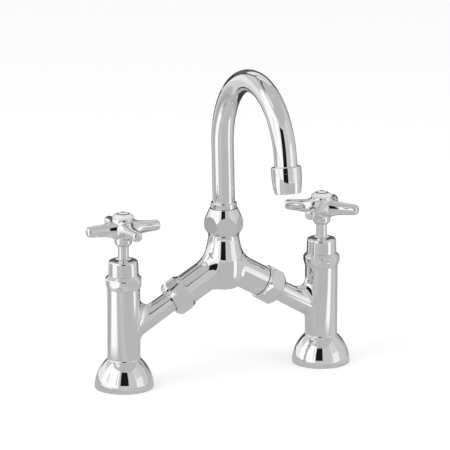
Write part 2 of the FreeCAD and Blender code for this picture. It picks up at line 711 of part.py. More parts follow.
def index_disc():
    """White disc with a low crown, on a hollow spigot that snaps into the hub."""
    spigot_radius = INDEX_WELL_RADIUS - FREE_PLAY
    spigot_bottom = HUB_TOP - INDEX_SPIGOT
    ceiling = HUB_TOP - INDEX_HOLLOW
    top = HUB_TOP + INDEX_EDGE
    ball_radius = (HUB_TOP_RADIUS ** 2 + INDEX_CROWN ** 2) / (2 * INDEX_CROWN)
    half = math.asin(HUB_TOP_RADIUS / ball_radius) / 2
    ball_centre = top + INDEX_CROWN - ball_radius
    crown = (ball_radius * math.sin(half), ball_centre + ball_radius * math.cos(half))
    body = turned([
        (0, ceiling),
        (spigot_radius - INDEX_SPIGOT_WALL, ceiling),
        (spigot_radius - INDEX_SPIGOT_WALL, spigot_bottom),
        (spigot_radius, spigot_bottom, FINE_EDGE),
        (spigot_radius, HUB_TOP),
        (HUB_TOP_RADIUS, HUB_TOP),
        (HUB_TOP_RADIUS, top),
        (0, top + INDEX_CROWN, 0, crown),
    ])
    body = body.makeFillet(INDEX_EDGE_ROUNDING, level_circles(body, HUB_TOP_RADIUS, top))
    return body.cut(index_ring())


# ---- union between pillar arm and bridge ----
def clip_inner():
    return ARM_END_RADIUS - CLIP_DEPTH


def union_nut(turn):
    """Hexagon nut held on the pillar's arm by the split ring and screwed on the bridge's arm."""
    barrel = turned([
        (0, UNION_START),
        (UNION_LIP_RADIUS, UNION_START, SOFT_EDGE),
        (UNION_LIP_RADIUS, UNION_START + UNION_LIP_LENGTH),
        (UNION_CREST_RADIUS, UNION_START + UNION_CREST_START, UNION_CREST_ROUNDING),
        (UNION_CREST_RADIUS, UNION_START + UNION_CREST_END, UNION_SHOULDER_ROUNDING),
        (UNION_END_RADIUS, UNION_END, UNION_END_ROUNDING),
        (0, UNION_END),
    ])
    body = barrel.common(hex_bar(UNION_FLATS, UNION_START, UNION_END, turn))
    body = body.cut([
        disc(UNION_THREAD_RADIUS + THREAD_PLAY, UNION_START, CLIP_END),
        disc(ARM_ROOT_RADIUS, CLIP_END, UNION_END),
    ])
    return along_arm(body)


def union_clip():
    """Split ring in the arm's groove that the nut's shoulder pulls on."""
    clip = ring(clip_inner(), CLIP_RADIUS, CLIP_START, CLIP_END)
    corner = Vector(-2 * CLIP_RADIUS, -CLIP_GAP / 2, CLIP_START)
    gap = Part.makeBox(2 * CLIP_RADIUS, CLIP_GAP, CLIP_THICKNESS, corner)
    return along_arm(clip.cut(gap))


def union_washer():
    return along_arm(ring(ARM_BORE, UNION_WASHER_RADIUS, BRIDGE_FACE, PILLAR_ARM_END))


# ---- bridge body ----
def bridge_trunk():
    """Upright middle of the bridge: a flared neck over a rounded belly, turned from one smooth curve."""
    places = [
        (NECK_RADIUS, NECK_HEIGHT),
        (FLARE_RADIUS, FLARE_RISE),
        (WAIST_RADIUS, WAIST_RISE),
        (BELLY_RADIUS, -BELLY_DROP),
        (HAUNCH_RADIUS, -HAUNCH_DROP),
        (FOOT_RADIUS, -FOOT_DROP),
    ]
    return smooth_turned([(radius, CROSSING_HEIGHT + rise) for radius, rise in places])


def bridge_quarter():
    """Front right quarter of the trunk and its half arm, run together by a rounding that is widest on top."""
    arm = along_arm(disc(BRIDGE_ARM_RADIUS, 0, BRIDGE_ARM_END))
    joined = bridge_trunk().fuse(arm).removeSplitter()
    quarter = joined.common(Part.makeBox(TAP_SPACING, TAP_SPACING, 2 * TAP_SPACING, Vector(0, -TAP_SPACING, 0)))
    for edge in quarter.Edges:
        on_mirror = min(edge.BoundBox.XLength, edge.BoundBox.YLength) < MATCH
        if "BSpline" in edge.Curve.TypeId and not on_mirror:
            junction = edge
    radii = (BRIDGE_TOP_FILLET, BRIDGE_UNDER_FILLET)
    if junction.valueAt(junction.FirstParameter).z < CROSSING_HEIGHT:
        radii = (BRIDGE_UNDER_FILLET, BRIDGE_TOP_FILLET)
    return quarter.makeFillet(radii[0], radii[1], [junction])


def bridge_body():
    """Y-shaped casting: flared neck and rounded belly, two sloping arms, threads and waterways."""
    quarter = bridge_quarter()
    half = quarter.fuse(quarter.mirror(ORIGIN, Vector(0, 1, 0)))
    body = half.fuse(half.mirror(ORIGIN, Vector(1, 0, 0))).removeSplitter()
    thread = along_arm(disc(UNION_THREAD_RADIUS, BRIDGE_ARM_END, BRIDGE_FACE))
    neck_thread = disc(NECK_THREAD_RADIUS, NECK_TOP, NECK_FACE)
    body = body.fuse([on_side(thread, "cold"), on_side(thread, "hot"), neck_thread])
    bore = along_arm(disc(BRIDGE_BORE, 0, BRIDGE_FACE))
    return body.cut([
        on_side(bore, "cold"),
        on_side(bore, "hot"),
        Part.makeSphere(BRIDGE_BORE, Vector(0, 0, CROSSING_HEIGHT)),
        disc(BRIDGE_BORE, CROSSING_HEIGHT, TAIL_BOTTOM),
        disc(TAIL_RADIUS + RUNNING_PLAY, TAIL_BOTTOM - FREE_PLAY, NECK_FACE),
    ])


# ---- swivel joint of the spout ----
def spout_nut():
    """Swollen hexagon nut with a tall tapered top that traps the tail's flange on the neck."""
    crest_start = SPOUT_NUT_BOTTOM + SPOUT_NUT_CREST_START
    crest_end = SPOUT_NUT_BOTTOM + SPOUT_NUT_CREST_END
    barrel = turned([
        (0, SPOUT_NUT_BOTTOM),
        (SPOUT_NUT_FOOT_RADIUS, SPOUT_NUT_BOTTOM, SOFT_EDGE),
        (SPOUT_NUT_CREST_RADIUS, crest_start, SPOUT_NUT_CREST_ROUNDING),
        (SPOUT_NUT_CREST_RADIUS, crest_end, SPOUT_NUT_TAPER_ROUNDING),
        (SPOUT_NUT_TOP_RADIUS, SPOUT_NUT_TOP, SOFT_EDGE),
        (0, SPOUT_NUT_TOP),
    ])
    hexagon = barrel.common(hex_bar(SPOUT_NUT_FLATS, SPOUT_NUT_BOTTOM, SPOUT_NUT_TOP, SPOUT_NUT_TURN))
    return hexagon.cut([
        disc(NECK_THREAD_RADIUS + THREAD_PLAY, SPOUT_NUT_BOTTOM, SPOUT_NUT_SHOULDER),
        disc(TUBE_RADIUS + FREE_PLAY, SPOUT_NUT_SHOULDER, SPOUT_NUT_TOP),
    ])


def tail_ring_levels():
    upper = FLANGE_BOTTOM - TAIL_RING_DROP
    return {"spout_upper_o_ring": upper, "spout_lower_o_ring": upper - TAIL_RING_SPACING}


def tail_ring_radius():
    """Middle radius of the tail's rubber rings, which just clear the bore that they seal in."""
    return TAIL_RADIUS + RUNNING_PLAY / 2 - TAIL_RING_SECTION


def spout_tail():
    """Ferrule brazed in the foot of the tube: flange, long plain tail and two ring grooves."""
    body = turned([
        (TAIL_BORE, TAIL_BOTTOM),
        (TAIL_RADIUS, TAIL_BOTTOM, TAIL_LEAD),
        (TAIL_RADIUS, FLANGE_BOTTOM),
        (TAIL_FLANGE_RADIUS, FLANGE_BOTTOM, FINE_EDGE),
        (TAIL_FLANGE_RADIUS, FLANGE_TOP, FINE_EDGE),
        (TUBE_BORE, FLANGE_TOP),
        (TUBE_BORE, FLANGE_TOP + TAIL_SPIGOT_LENGTH, SOFT_EDGE),
        (TAIL_BORE, FLANGE_TOP + TAIL_SPIGOT_LENGTH),
    ])
    floor = tail_ring_radius() - TAIL_RING_SECTION
    half = TAIL_RING_SECTION + TAIL_RING_END_PLAY
    grooves = []
    for level in tail_ring_levels().values():
        grooves.append(ring(floor, TAIL_FLANGE_RADIUS, level - half, level + half))
    return body.cut(grooves)


def lower_bearing():
    """Slip ring between the neck's face and the flange."""
    return ring(TAIL_RADIUS + FREE_PLAY, TAIL_FLANGE_RADIUS, NECK_FACE, FLANGE_BOTTOM)


def upper_bearing():
    """Slip ring between the flange and the nut's shoulder."""
    return ring(TUBE_RADIUS + FREE_PLAY, TAIL_FLANGE_RADIUS, FLANGE_TOP, SPOUT_NUT_SHOULDER)


# ---- spout ----
def heading(angle):
    """Direction in the YZ plane, turned from straight up towards the front by angle degrees."""
    return Vector(0, -math.sin(math.radians(angle)), math.cos(math.radians(angle)))


def spout_route(end_straight):
    """The spout's centre line as (kind, length or radius, turn) from the flange upwards."""
    rise = SPOUT_NUT_TOP - FLANGE_TOP + LEG_STRAIGHT
    return [
        ("line", rise, 0.0),
        ("bend", LEG_BEND_RADIUS, -LEG_LEAN),
        ("line", LEG_LENGTH, 0.0),
        ("bend", ARCH_RADIUS, ARCH_TURN),
        ("line", end_straight, 0.0),
    ]


def bend_centre(place, angle, radius, turn):
    return place + heading(angle + math.copysign(90, turn)) * radius


def walk(route):
    """Place and heading at the start of every run of a route, and at its end."""
    place = Vector(0, 0, FLANGE_TOP)
    angle = 0.0
    stops = [(place, angle)]
    for kind, size, turn in route:
        if kind == "line":
            place = place + heading(angle) * size
        else:
            centre = bend_centre(place, angle, size, turn)
            angle = angle + turn
            place = centre - heading(angle + math.copysign(90, turn)) * size
        stops.append((place, angle))
    return stops


def round_bar(radius, route):
    """Round bar along a route of straight runs and bends."""
    runs = []
    for (kind, size, turn), (place, angle) in zip(route, walk(route)):
        if kind == "line":
            runs.append(Part.makeCylinder(radius, size, place, heading(angle)))
        else:
            circle = Part.Face(Part.Wire(Part.makeCircle(radius, place, heading(angle))))
            axis = Vector(math.copysign(1, turn), 0, 0)
            runs.append(circle.revolve(bend_centre(place, angle, size, turn), axis, abs(turn)))
    return runs[0].fuse(runs[1:]).removeSplitter()


def spout_tube():
    """Swan-neck tube from the tail's flange to its socket in the outlet collar."""
    route = spout_route(OUTLET_STRAIGHT + OUTLET_SOCKET)
    return round_bar(TUBE_RADIUS, route).cut(round_bar(TUBE_BORE, route))


def spout_collar():
    """Ring round the foot of the tube, just clear of the nut."""
    bottom = SPOUT_NUT_TOP + COLLAR_LIFT
    return turned([
        (TUBE_RADIUS, bottom),
        (COLLAR_FOOT_RADIUS, bottom, FINE_EDGE),
        (COLLAR_TOP_RADIUS, bottom + COLLAR_HEIGHT, COLLAR_ROUNDING),
        (TUBE_RADIUS, bottom + COLLAR_HEIGHT),
    ])


# ---- spout end, made with Z along the flow from the top of the outlet collar ----
def at_outlet(shape):
    """Set a piece of the spout end at the end of the tube."""
    place, angle = walk(spout_route(OUTLET_STRAIGHT))[-1]
    placed = shape.copy()
    rotation = FreeCAD.Rotation(UP, heading(angle))
    placed.Placement = FreeCAD.Placement(place, rotation).multiply(placed.Placement)
    return placed


def outlet_collar():
    """Shoulder ring brazed on the tube, with the thread that takes the aerator's shell."""
    return at_outlet(turned([
        (TUBE_RADIUS, 0),
        (OUTLET_RADIUS, 0, OUTLET_SHOULDER),
        (OUTLET_RADIUS, OUTLET_HEIGHT, OUTLET_SEAM),
        (OUTLET_THREAD_RADIUS, OUTLET_HEIGHT),
        (OUTLET_THREAD_RADIUS, OUTLET_NOSE_END, SOFT_EDGE),
        (TUBE_BORE, OUTLET_NOSE_END),
        (TUBE_BORE, OUTLET_SOCKET),
        (TUBE_RADIUS, OUTLET_SOCKET),
    ]))


def aerator_shell():
    """Slightly swollen shell that tapers to a rounded mouth with an inward lip."""
    swell = (
        (OUTLET_RADIUS + SHELL_MOUTH_RADIUS) / 2 + SHELL_BULGE,
        OUTLET_HEIGHT + SHELL_LENGTH / 2,
    )
    outside = turned([
        (0, OUTLET_HEIGHT),
        (OUTLET_RADIUS, OUTLET_HEIGHT),
        (SHELL_MOUTH_RADIUS, SHELL_END, 0, swell),
        (0, SHELL_END),
    ])
    mouth = level_circles(outside, SHELL_MOUTH_RADIUS, SHELL_END)
    outside = outside.makeFillet(SHELL_MOUTH_ROUNDING, mouth)
    return at_outlet(outside.cut([
        disc(OUTLET_THREAD_RADIUS + THREAD_PLAY, OUTLET_HEIGHT, OUTLET_NOSE_END),
        disc(SHELL_BORE, OUTLET_NOSE_END, AERATOR_END),
        disc(SHELL_MOUTH_RADIUS - SHELL_LIP_WIDTH, AERATOR_END, SHELL_END),
    ]))


def aerator_washer():
    outer = SHELL_BORE - THREAD_PLAY
    return at_outlet(ring(AERATOR_WASHER_BORE, outer, OUTLET_NOSE_END, AERATOR_TOP))


def hole_places():
    """Centres of the aerator plate's holes, in a triangular pattern of AERATOR_HOLE_ROWS rings."""
    rows = AERATOR_HOLE_ROWS
    places = []
    for row in range(-rows, rows + 1):
        for column in range(-rows, rows + 1):
            if abs(row + column) <= rows:
                x = AERATOR_HOLE_PITCH * (column + row / 2)
                y = AERATOR_HOLE_PITCH * row * math.sin(math.radians(60))
                places.append((x, y))
    return places


def aerator_insert():
    """Cartridge of the aerator: a ring with a perforated plate near each end."""
    outer = SHELL_BORE - THREAD_PLAY
    inner = outer - AERATOR_WALL
    upper = AERATOR_TOP + AERATOR_PLATE_INSET
    lower = AERATOR_END - AERATOR_PLATE_INSET - AERATOR_PLATE
    body = disc(outer, AERATOR_TOP, AERATOR_END).cut([
        disc(inner, AERATOR_TOP, upper),
        disc(inner, upper + AERATOR_PLATE, lower),
        disc(inner, lower + AERATOR_PLATE, AERATOR_END),
    ])
    holes = []
    for x, y in hole_places():
        hole = disc(AERATOR_HOLE_RADIUS, AERATOR_TOP, AERATOR_END)
        hole.translate(Vector(x, y, 0))
        holes.append(hole)
    return at_outlet(body.cut(holes))


# ---- the pieces by name ----
def tap_pieces(side):
    """Every piece of one tap, in place."""
    turn = HANDLE_TURN[side]
    return {
        "pillar": on_side(pillar(), side),
        "base_washer": on_tap(base_washer(), side),
        "seat": on_tap(seat(), side),
        "jumper": on_tap(jumper(), side),
        "valve_washer": on_tap(valve_washer(), side),
        "washer_nut": on_tap(washer_nut(), side),
        "bonnet": on_tap(bonnet(), side, BONNET_TURN[side]),
        "bonnet_o_ring": on_tap(bonnet_ring(), side),
        "gland_packing": on_tap(gland_packing(), side),
        "gland_nut": on_tap(gland_nut(), side, BONNET_TURN[side]),
        "dome_cover": on_tap(dome_cover(), side),
        "spindle": on_tap(spindle(), side, turn),
        "handle": on_tap(handle(), side, turn),
        "handle_screw": on_tap(handle_screw(), side, turn),
        "index_disc": on_tap(index_disc(), side, turn),
        "index_o_ring": on_tap(index_ring(), side, turn),
        "union_nut": on_side(union_nut(UNION_NUT_TURN[side]), side),
        "union_clip": on_side(union_clip(), side),
        "union_washer": on_side(union_washer(), side),
    }


def centre_pieces():
    """Every piece of the bridge and the spout, in place."""
    pieces = {
        "bridge_body": bridge_body(),
        "spout_nut": spout_nut(),
        "spout_tail": spout_tail(),
        "spout_lower_bearing": lower_bearing(),
        "spout_upper_bearing": upper_bearing(),
        "spout_tube": spout_tube(),
        "spout_collar": spout_collar(),
        "outlet_collar": outlet_collar(),
        "aerator_shell": aerator_shell(),
        "aerator_washer": aerator_washer(),
        "aerator_insert": aerator_insert(),
    }
    for name, level in tail_ring_levels().items():
        pieces[name] = rubber_ring(tail_ring_radius(), TAIL_RING_SECTION, level)
    return pieces


def main():
    os.makedirs("parts", exist_ok=True)
    pieces = centre_pieces()
    for side in SIDE_TURN:
        for name, shape in tap_pieces(side).items():
            pieces[side + "_" + name] = shape
    for name, shape in pieces.items():
        print(name, "solids", len(shape.Solids), "valid", shape.isValid(), "volume", round(shape.Volume))
        shape.exportStep("parts/" + name + ".step")


main()
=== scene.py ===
"""Bridge kitchen faucet: polished chrome on a white ground, lit by two large soft lamps.

Metres, +Z up, in the model's own frame. What the chrome reflects is a set of glowing panels that lie on the
floor
and stand round the object: painted reflections, which only reflections show and which light nothing.
"""

import math

import bmesh
import bpy
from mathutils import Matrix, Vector


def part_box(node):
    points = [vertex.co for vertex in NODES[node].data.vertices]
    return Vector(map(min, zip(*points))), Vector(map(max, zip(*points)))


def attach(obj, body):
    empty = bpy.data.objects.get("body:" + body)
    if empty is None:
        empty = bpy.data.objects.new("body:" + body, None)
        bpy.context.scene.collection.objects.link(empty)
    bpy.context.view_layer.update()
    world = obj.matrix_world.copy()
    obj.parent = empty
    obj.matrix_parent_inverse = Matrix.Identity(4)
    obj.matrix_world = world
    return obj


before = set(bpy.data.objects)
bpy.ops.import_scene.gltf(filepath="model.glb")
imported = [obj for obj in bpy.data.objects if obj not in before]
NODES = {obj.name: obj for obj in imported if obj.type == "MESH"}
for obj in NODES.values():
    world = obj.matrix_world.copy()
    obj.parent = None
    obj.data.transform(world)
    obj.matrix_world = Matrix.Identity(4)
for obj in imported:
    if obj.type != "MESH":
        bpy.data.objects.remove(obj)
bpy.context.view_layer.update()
MM = 0.001


def link(name, data):
    """Put a camera, lamp or mesh into the scene under a name."""
    thing = bpy.data.objects.new(name, data)
    bpy.context.scene.collection.objects.link(thing)
    return thing


# ---- camera ----
CAMERA_AZIMUTH = math.radians(-24.50)
CAMERA_ELEVATION = math.radians(14.37)
CAMERA_DISTANCE = 2.81288
CAMERA_TARGET = Vector((0.0, 0.0, 0.110))
FOCAL_PIXELS = 3404.03
FRAME_PIXELS = 450
TARGET_PIXEL = (223.7, 246.0)
SENSOR = 36.0
CLIP = (0.05, 60.0)

BACK = Vector((
    math.sin(CAMERA_AZIMUTH) * math.cos(CAMERA_ELEVATION),
    -math.cos(CAMERA_AZIMUTH) * math.cos(CAMERA_ELEVATION),
    math.sin(CAMERA_ELEVATION),
))
RIGHT = Vector((math.cos(CAMERA_AZIMUTH), math.sin(CAMERA_AZIMUTH), 0.0))
ABOVE = BACK.cross(RIGHT)


def make_camera():
    """Camera at the photograph's place, turned so that the target falls on its pixel."""
    data = bpy.data.cameras.new("camera")
    camera = link("camera", data)
    data.sensor_width = SENSOR
    data.lens = FOCAL_PIXELS * SENSOR / FRAME_PIXELS
    data.clip_start, data.clip_end = CLIP
    pixel = CAMERA_DISTANCE / FOCAL_PIXELS
    half = FRAME_PIXELS / 2
    aim = CAMERA_TARGET + RIGHT * (half - TARGET_PIXEL[0]) * pixel + ABOVE * (TARGET_PIXEL[1] - half) * pixel
    camera.location = CAMERA_TARGET + BACK * CAMERA_DISTANCE
    camera.rotation_mode = "QUATERNION"
    camera.rotation_quaternion = (aim - camera.location).to_track_quat("-Z", "Y")
    bpy.context.scene.camera = camera


make_camera()


# ---- node helpers ----
# a noise node's value lies mostly between these two
NOISE_LOW, NOISE_HIGH = 0.3, 0.7
ROUGHNESS_DETAIL = 5.0


def new_material(name):
    """Empty material and its node tree."""
    material = bpy.data.materials.new(name)
    material.use_nodes = True
    tree = material.node_tree
    tree.nodes.clear()
    return material, tree


def add(tree, kind, **values):
    """New node of a kind, with some of its settings."""
    node = tree.nodes.new(kind)
    for key, value in values.items():
        setattr(node, key, value)
    return node


def noise(tree, scale, detail=3.0, drawn_out=1.0):
    """Noise over the object's own coordinates, drawn out along Z; scale is in features per metre."""
    place = add(tree, "ShaderNodeTexCoord")
    stretch = add(tree, "ShaderNodeMapping")
    stretch.inputs["Scale"].default_value = (1.0, 1.0, 1.0 / drawn_out)
    tree.links.new(place.outputs["Object"], stretch.inputs["Vector"])
    texture = add(tree, "ShaderNodeTexNoise")
    texture.inputs["Scale"].default_value = scale
    texture.inputs["Detail"].default_value = detail
    tree.links.new(stretch.outputs["Vector"], texture.inputs["Vector"])
    return texture.outputs["Fac"]


def span(tree, source, low, high):
    """Map a noise value to a range of numbers."""
    node = add(tree, "ShaderNodeMapRange")
    node.inputs["From Min"].default_value = NOISE_LOW
    node.inputs["From Max"].default_value = NOISE_HIGH
    node.inputs["To Min"].default_value = low
    node.inputs["To Max"].default_value = high
    tree.links.new(source, node.inputs["Value"])
    return node.outputs["Result"]


def tint(tree, source, low, high):
    """Map a noise value to a colour between two."""
    node = add(tree, "ShaderNodeValToRGB")
    ends = ((NOISE_LOW, low), (NOISE_HIGH, high))
    for element, (position, colour) in zip(node.color_ramp.elements, ends):
        element.position = position
        element.color = (*colour, 1.0)
    tree.links.new(source, node.inputs["Fac"])
    return node.outputs["Color"]


def relief(tree, layers):
    """Chain of bumps; each layer is (height source, height in metres)."""
    normal = None
    for source, height in layers:
        bump = add(tree, "ShaderNodeBump")
        bump.inputs["Strength"].default_value = 1.0
        bump.inputs["Distance"].default_value = height
        tree.links.new(source, bump.inputs["Height"])
        if normal is not None:
            tree.links.new(normal, bump.inputs["Normal"])
        normal = bump.outputs["Normal"]
    return normal


def surface(name, low, high, rough, metallic, layers, colour_scale, rough_scale, **constants):
    """Principled material whose colour, roughness and relief all vary over the surface.

    low and high are colours and rough is a range. Each layer of relief is (features per metre, detail,
    height in metres, how far it is drawn out along Z).
    """
    material, tree = new_material(name)
    shader = add(tree, "ShaderNodeBsdfPrincipled")
    output = add(tree, "ShaderNodeOutputMaterial")
    tree.links.new(shader.outputs["BSDF"], output.inputs["Surface"])
    tree.links.new(tint(tree, noise(tree, colour_scale), low, high), shader.inputs["Base Color"])
    tree.links.new(span(tree, noise(tree, rough_scale, ROUGHNESS_DETAIL), *rough), shader.inputs["Roughness"])
    shader.inputs["Metallic"].default_value = metallic
    for socket, value in constants.items():
        shader.inputs[socket.replace("_", " ")].default_value = value
    heights = []
    for scale, detail, height, drawn_out in layers:
        heights.append((noise(tree, scale, detail, drawn_out), height))
    tree.links.new(relief(tree, heights), shader.inputs["Normal"])
    return material


# ---- materials ----
CAST = surface(
    "chrome_cast", (0.84, 0.84, 0.845), (0.89, 0.89, 0.89), (0.02, 0.05), 1.0,
    [(55, 1.0, 0.00003, 1), (420, 2.0, 0.0000015, 1), (700, 2.0, 0.000004, 30)], 35, 160,
)
TURNED = surface(
    "chrome_turned", (0.85, 0.85, 0.855), (0.90, 0.90, 0.90), (0.015, 0.04), 1.0,
    [(90, 1.0, 0.000008, 1), (600, 2.0, 0.000001, 1), (800, 2.0, 0.000004, 30)], 50, 240,
)
DRAWN = surface(
    "chrome_drawn", (0.85, 0.85, 0.855), (0.90, 0.90, 0.90), (0.015, 0.04), 1.0,
    [(40, 1.0, 0.00001, 1), (500, 2.0, 0.000001, 1)], 40, 200,
)
BRASS = surface(
    "brass", (0.62, 0.44, 0.19), (0.78, 0.60, 0.30), (0.18, 0.34), 1.0,
    [(900, 3.0, 0.00001, 1)], 120, 500,
)
STEEL = surface(
    "steel", (0.48, 0.48, 0.49), (0.62, 0.62, 0.63), (0.16, 0.32), 1.0,
    [(1100, 3.0, 0.00001, 1)], 200, 700,
)
RUBBER = surface(
    "rubber", (0.018, 0.018, 0.019), (0.035, 0.035, 0.036), (0.55, 0.75), 0.0,
    [(1500, 4.0, 0.00003, 1)], 300, 600,
)
PACKING = surface(
    "packing", (0.07, 0.07, 0.075), (0.14, 0.14, 0.14), (0.6, 0.8), 0.0,
    [(2200, 4.0, 0.00005, 1)], 500, 900,
)
NYLON = surface(
    "nylon", (0.74, 0.74, 0.72), (0.84, 0.84, 0.82), (0.34, 0.5), 0.0,
    [(900, 3.0, 0.00002, 1)], 200, 500,
)
GLAZE = surface(
    "glazed_white", (0.90, 0.90, 0.895), (0.95, 0.95, 0.945), (0.06, 0.14), 0.0,
    [(300, 2.0, 0.000006, 1)], 150, 400, Coat_Weight=0.5, Coat_Roughness=0.04,
)
ENAMEL = surface(
    "dark_enamel", (0.012, 0.012, 0.014), (0.03, 0.03, 0.034), (0.12, 0.25), 0.0,
    [(900, 2.0, 0.000005, 1)], 300, 700,
)

TAP_MATERIALS = {
    "pillar": CAST, "base_washer": RUBBER, "seat": BRASS, "jumper": BRASS, "valve_washer": RUBBER,
    "washer_nut": BRASS, "bonnet": TURNED, "bonnet_o_ring": RUBBER, "gland_packing": PACKING,
    "gland_nut": BRASS, "dome_cover": TURNED, "spindle": TURNED, "handle": CAST, "handle_screw": STEEL,
    "index_disc": GLAZE, "index_o_ring": RUBBER, "union_nut": TURNED, "union_clip": STEEL,
    "union_washer": RUBBER,
}
CENTRE_MATERIALS = {
    "bridge_body": CAST, "spout_nut": TURNED, "spout_tail": BRASS, "spout_lower_bearing": NYLON,
    "spout_upper_bearing": NYLON, "spout_tube": DRAWN, "spout_collar": TURNED, "outlet_collar": TURNED,
    "aerator_shell": TURNED, "aerator_washer": RUBBER, "aerator_insert": NYLON,
    "spout_upper_o_ring": RUBBER, "spout_lower_o_ring": RUBBER,
}


def dress():
    """Give every CAD node its material; the taps' nodes are named after their side."""
    for name, node in NODES.items():
        bare = name.split("_", 1)[1] if name.startswith(("hot_", "cold_")) else name
        material = TAP_MATERIALS.get(bare) or CENTRE_MATERIALS[bare]
        node.data.materials.clear()
        node.data.materials.append(material)


dress()


# ---- marks on the index discs ----
DISC_RADIUS = 8.7 * MM
DISC_CROWN = 3.5 * MM
MARK_PROUD = 0.04 * MM
RING_INNER = 4.6 * MM
RING_OUTER = 5.6 * MM
DOT_RADIUS = 1.7 * MM


def crown_height(radius):
    """Height of the disc's ball-shaped crown below its top, at a distance from its axis."""
    ball = (DISC_RADIUS ** 2 + DISC_CROWN ** 2) / (2 * DISC_CROWN)
    return math.sqrt(ball ** 2 - radius ** 2) - ball


def enamel_lift(part, solid):
    """Share of its full height at which the enamel stands, from the inner edge, 0, to the outer edge, 1."""
    if solid:
        return 1 - part
    return math.sqrt(max(0.0, 1 - (2 * part - 1) ** 2))


def enamel_band(name, inner, outer, centre, steps=96, rows=4):
    """Thin band of enamel laid on the crown between two radii; with no inner radius it is a dot."""
    mesh = bmesh.new()
    rings = []
    for row in range(rows + 1):
        part = row / rows
        radius = inner + (outer - inner) * part
        z = centre.z + crown_height(radius) + MARK_PROUD * enamel_lift(part, inner == 0)
        if radius == 0:
            rings.append([mesh.verts.new((centre.x, centre.y, z))])
            continue
        ring = []
        for step in range(steps):
            angle = 2 * math.pi * step / steps
            ring.append(mesh.verts.new((
                centre.x + radius * math.cos(angle), centre.y + radius * math.sin(angle), z,
            )))
        rings.append(ring)
    for low, high in zip(rings, rings[1:]):
        for step in range(steps):
            after = (step + 1) % steps
            if len(low) == 1:
                mesh.faces.new((low[0], high[step], high[after]))
            else:
                mesh.faces.new((low[step], high[step], high[after], low[after]))
    data = bpy.data.meshes.new(name)
    mesh.to_mesh(data)
    mesh.free()
    for polygon in data.polygons:
        polygon.use_smooth = True
    data.materials.append(ENAMEL)
    return link(name, data)


def mark_discs():
    """Plain ring and dot on each index disc."""
    for side in ("hot", "cold"):
        low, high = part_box(side + "_index_disc")
        centre = Vector(((low[0] + high[0]) / 2, (low[1] + high[1]) / 2, high[2]))
        for part, inner, outer in (("ring", RING_INNER, RING_OUTER), ("dot", 0.0, DOT_RADIUS)):
            piece = enamel_band(side + "_index_" + part, inner, outer, centre)
            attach(piece, side + "_control")


mark_discs()


# ---- floor, world and lamps ----
FLOOR_SIZE = 60.0
FLOOR_GREY = 0.78
FLOOR_GLOW = 0.40
WORLD_LIGHT = 0.65
WORLD_WHITE = 1.0

# name, azimuth, elevation, distance, width and height, watts
LAMPS = (
    ("key", -55, 42, 2.2, (1.2, 1.2), 12.0),
    ("fill", 62, 30, 2.4, (1.4, 1.0), 8.0),
)


def shown_rays(tree):
    """One for camera, glossy and transmission rays, nought for the rest."""
    path = add(tree, "ShaderNodeLightPath")
    total = path.outputs["Is Camera Ray"]
    for name in ("Is Glossy Ray", "Is Transmission Ray"):
        node = add(tree, "ShaderNodeMath", operation="MAXIMUM")
        tree.links.new(total, node.inputs[0])
        tree.links.new(path.outputs[name], node.inputs[1])
        total = node.outputs[0]
    return total


def make_floor():
    """White ground that still takes the object's shadow."""
    data = bpy.data.meshes.new("floor")
    half = FLOOR_SIZE / 2
    corners = [(-half, -half, 0.0), (half, -half, 0.0), (half, half, 0.0), (-half, half, 0.0)]
    data.from_pydata(corners, [], [(0, 1, 2, 3)])
    piece = link("floor", data)
    material, tree = new_material("ground")
    output = add(tree, "ShaderNodeOutputMaterial")
    both = add(tree, "ShaderNodeAddShader")
    diffuse = add(tree, "ShaderNodeBsdfDiffuse")
    diffuse.inputs["Color"].default_value = (FLOOR_GREY, FLOOR_GREY, FLOOR_GREY, 1.0)
    glow = add(tree, "ShaderNodeEmission")
    strength = add(tree, "ShaderNodeMath", operation="MULTIPLY")
    strength.inputs[1].default_value = FLOOR_GLOW
    tree.links.new(shown_rays(tree), strength.inputs[0])
    tree.links.new(strength.outputs[0], glow.inputs["Strength"])
    tree.links.new(diffuse.outputs[0], both.inputs[0])
    tree.links.new(glow.outputs[0], both.inputs[1])
    tree.links.new(both.outputs[0], output.inputs["Surface"])
    data.materials.append(material)


def make_world():
    """White behind everything, and a plain level of light on the object."""
    world = bpy.data.worlds.new("studio")
    bpy.context.scene.world = world
    world.use_nodes = True
    tree = world.node_tree
    tree.nodes.clear()
    background = add(tree, "ShaderNodeBackground")
    output = add(tree, "ShaderNodeOutputWorld")
    background.inputs["Color"].default_value = (1.0, 1.0, 1.0, 1.0)
    level = add(tree, "ShaderNodeMapRange")
    level.inputs["To Min"].default_value = WORLD_LIGHT
    level.inputs["To Max"].default_value = WORLD_WHITE
    tree.links.new(shown_rays(tree), level.inputs["Value"])
    tree.links.new(level.outputs["Result"], background.inputs["Strength"])
    tree.links.new(background.outputs[0], output.inputs["Surface"])


def lamp(name, azimuth, elevation, distance, size, power):
    """Large soft lamp aimed at the middle of the object; the azimuth is counted from the camera's."""
    data = bpy.data.lights.new(name, "AREA")
    data.shape = "RECTANGLE"
    data.size, data.size_y = size
    data.energy = power
    obj = link(name, data)
    a = CAMERA_AZIMUTH + math.radians(azimuth)
    e = math.radians(elevation)
    away = Vector((math.sin(a) * math.cos(e), -math.cos(a) * math.cos(e), math.sin(e)))
    obj.location = CAMERA_TARGET + away * distance
    obj.rotation_mode = "QUATERNION"
    obj.rotation_quaternion = (-away).to_track_quat("-Z", "Y")
    obj.visible_camera = False
    obj.visible_glossy = False


# ---- panels that the chrome reflects: painted reflections ----
MOTTLE = 0.04
MOTTLE_SCALE = 3.0
ROUND_STEPS = 40
RISE_STEPS = 16
FLOOR_REACH = 2.5
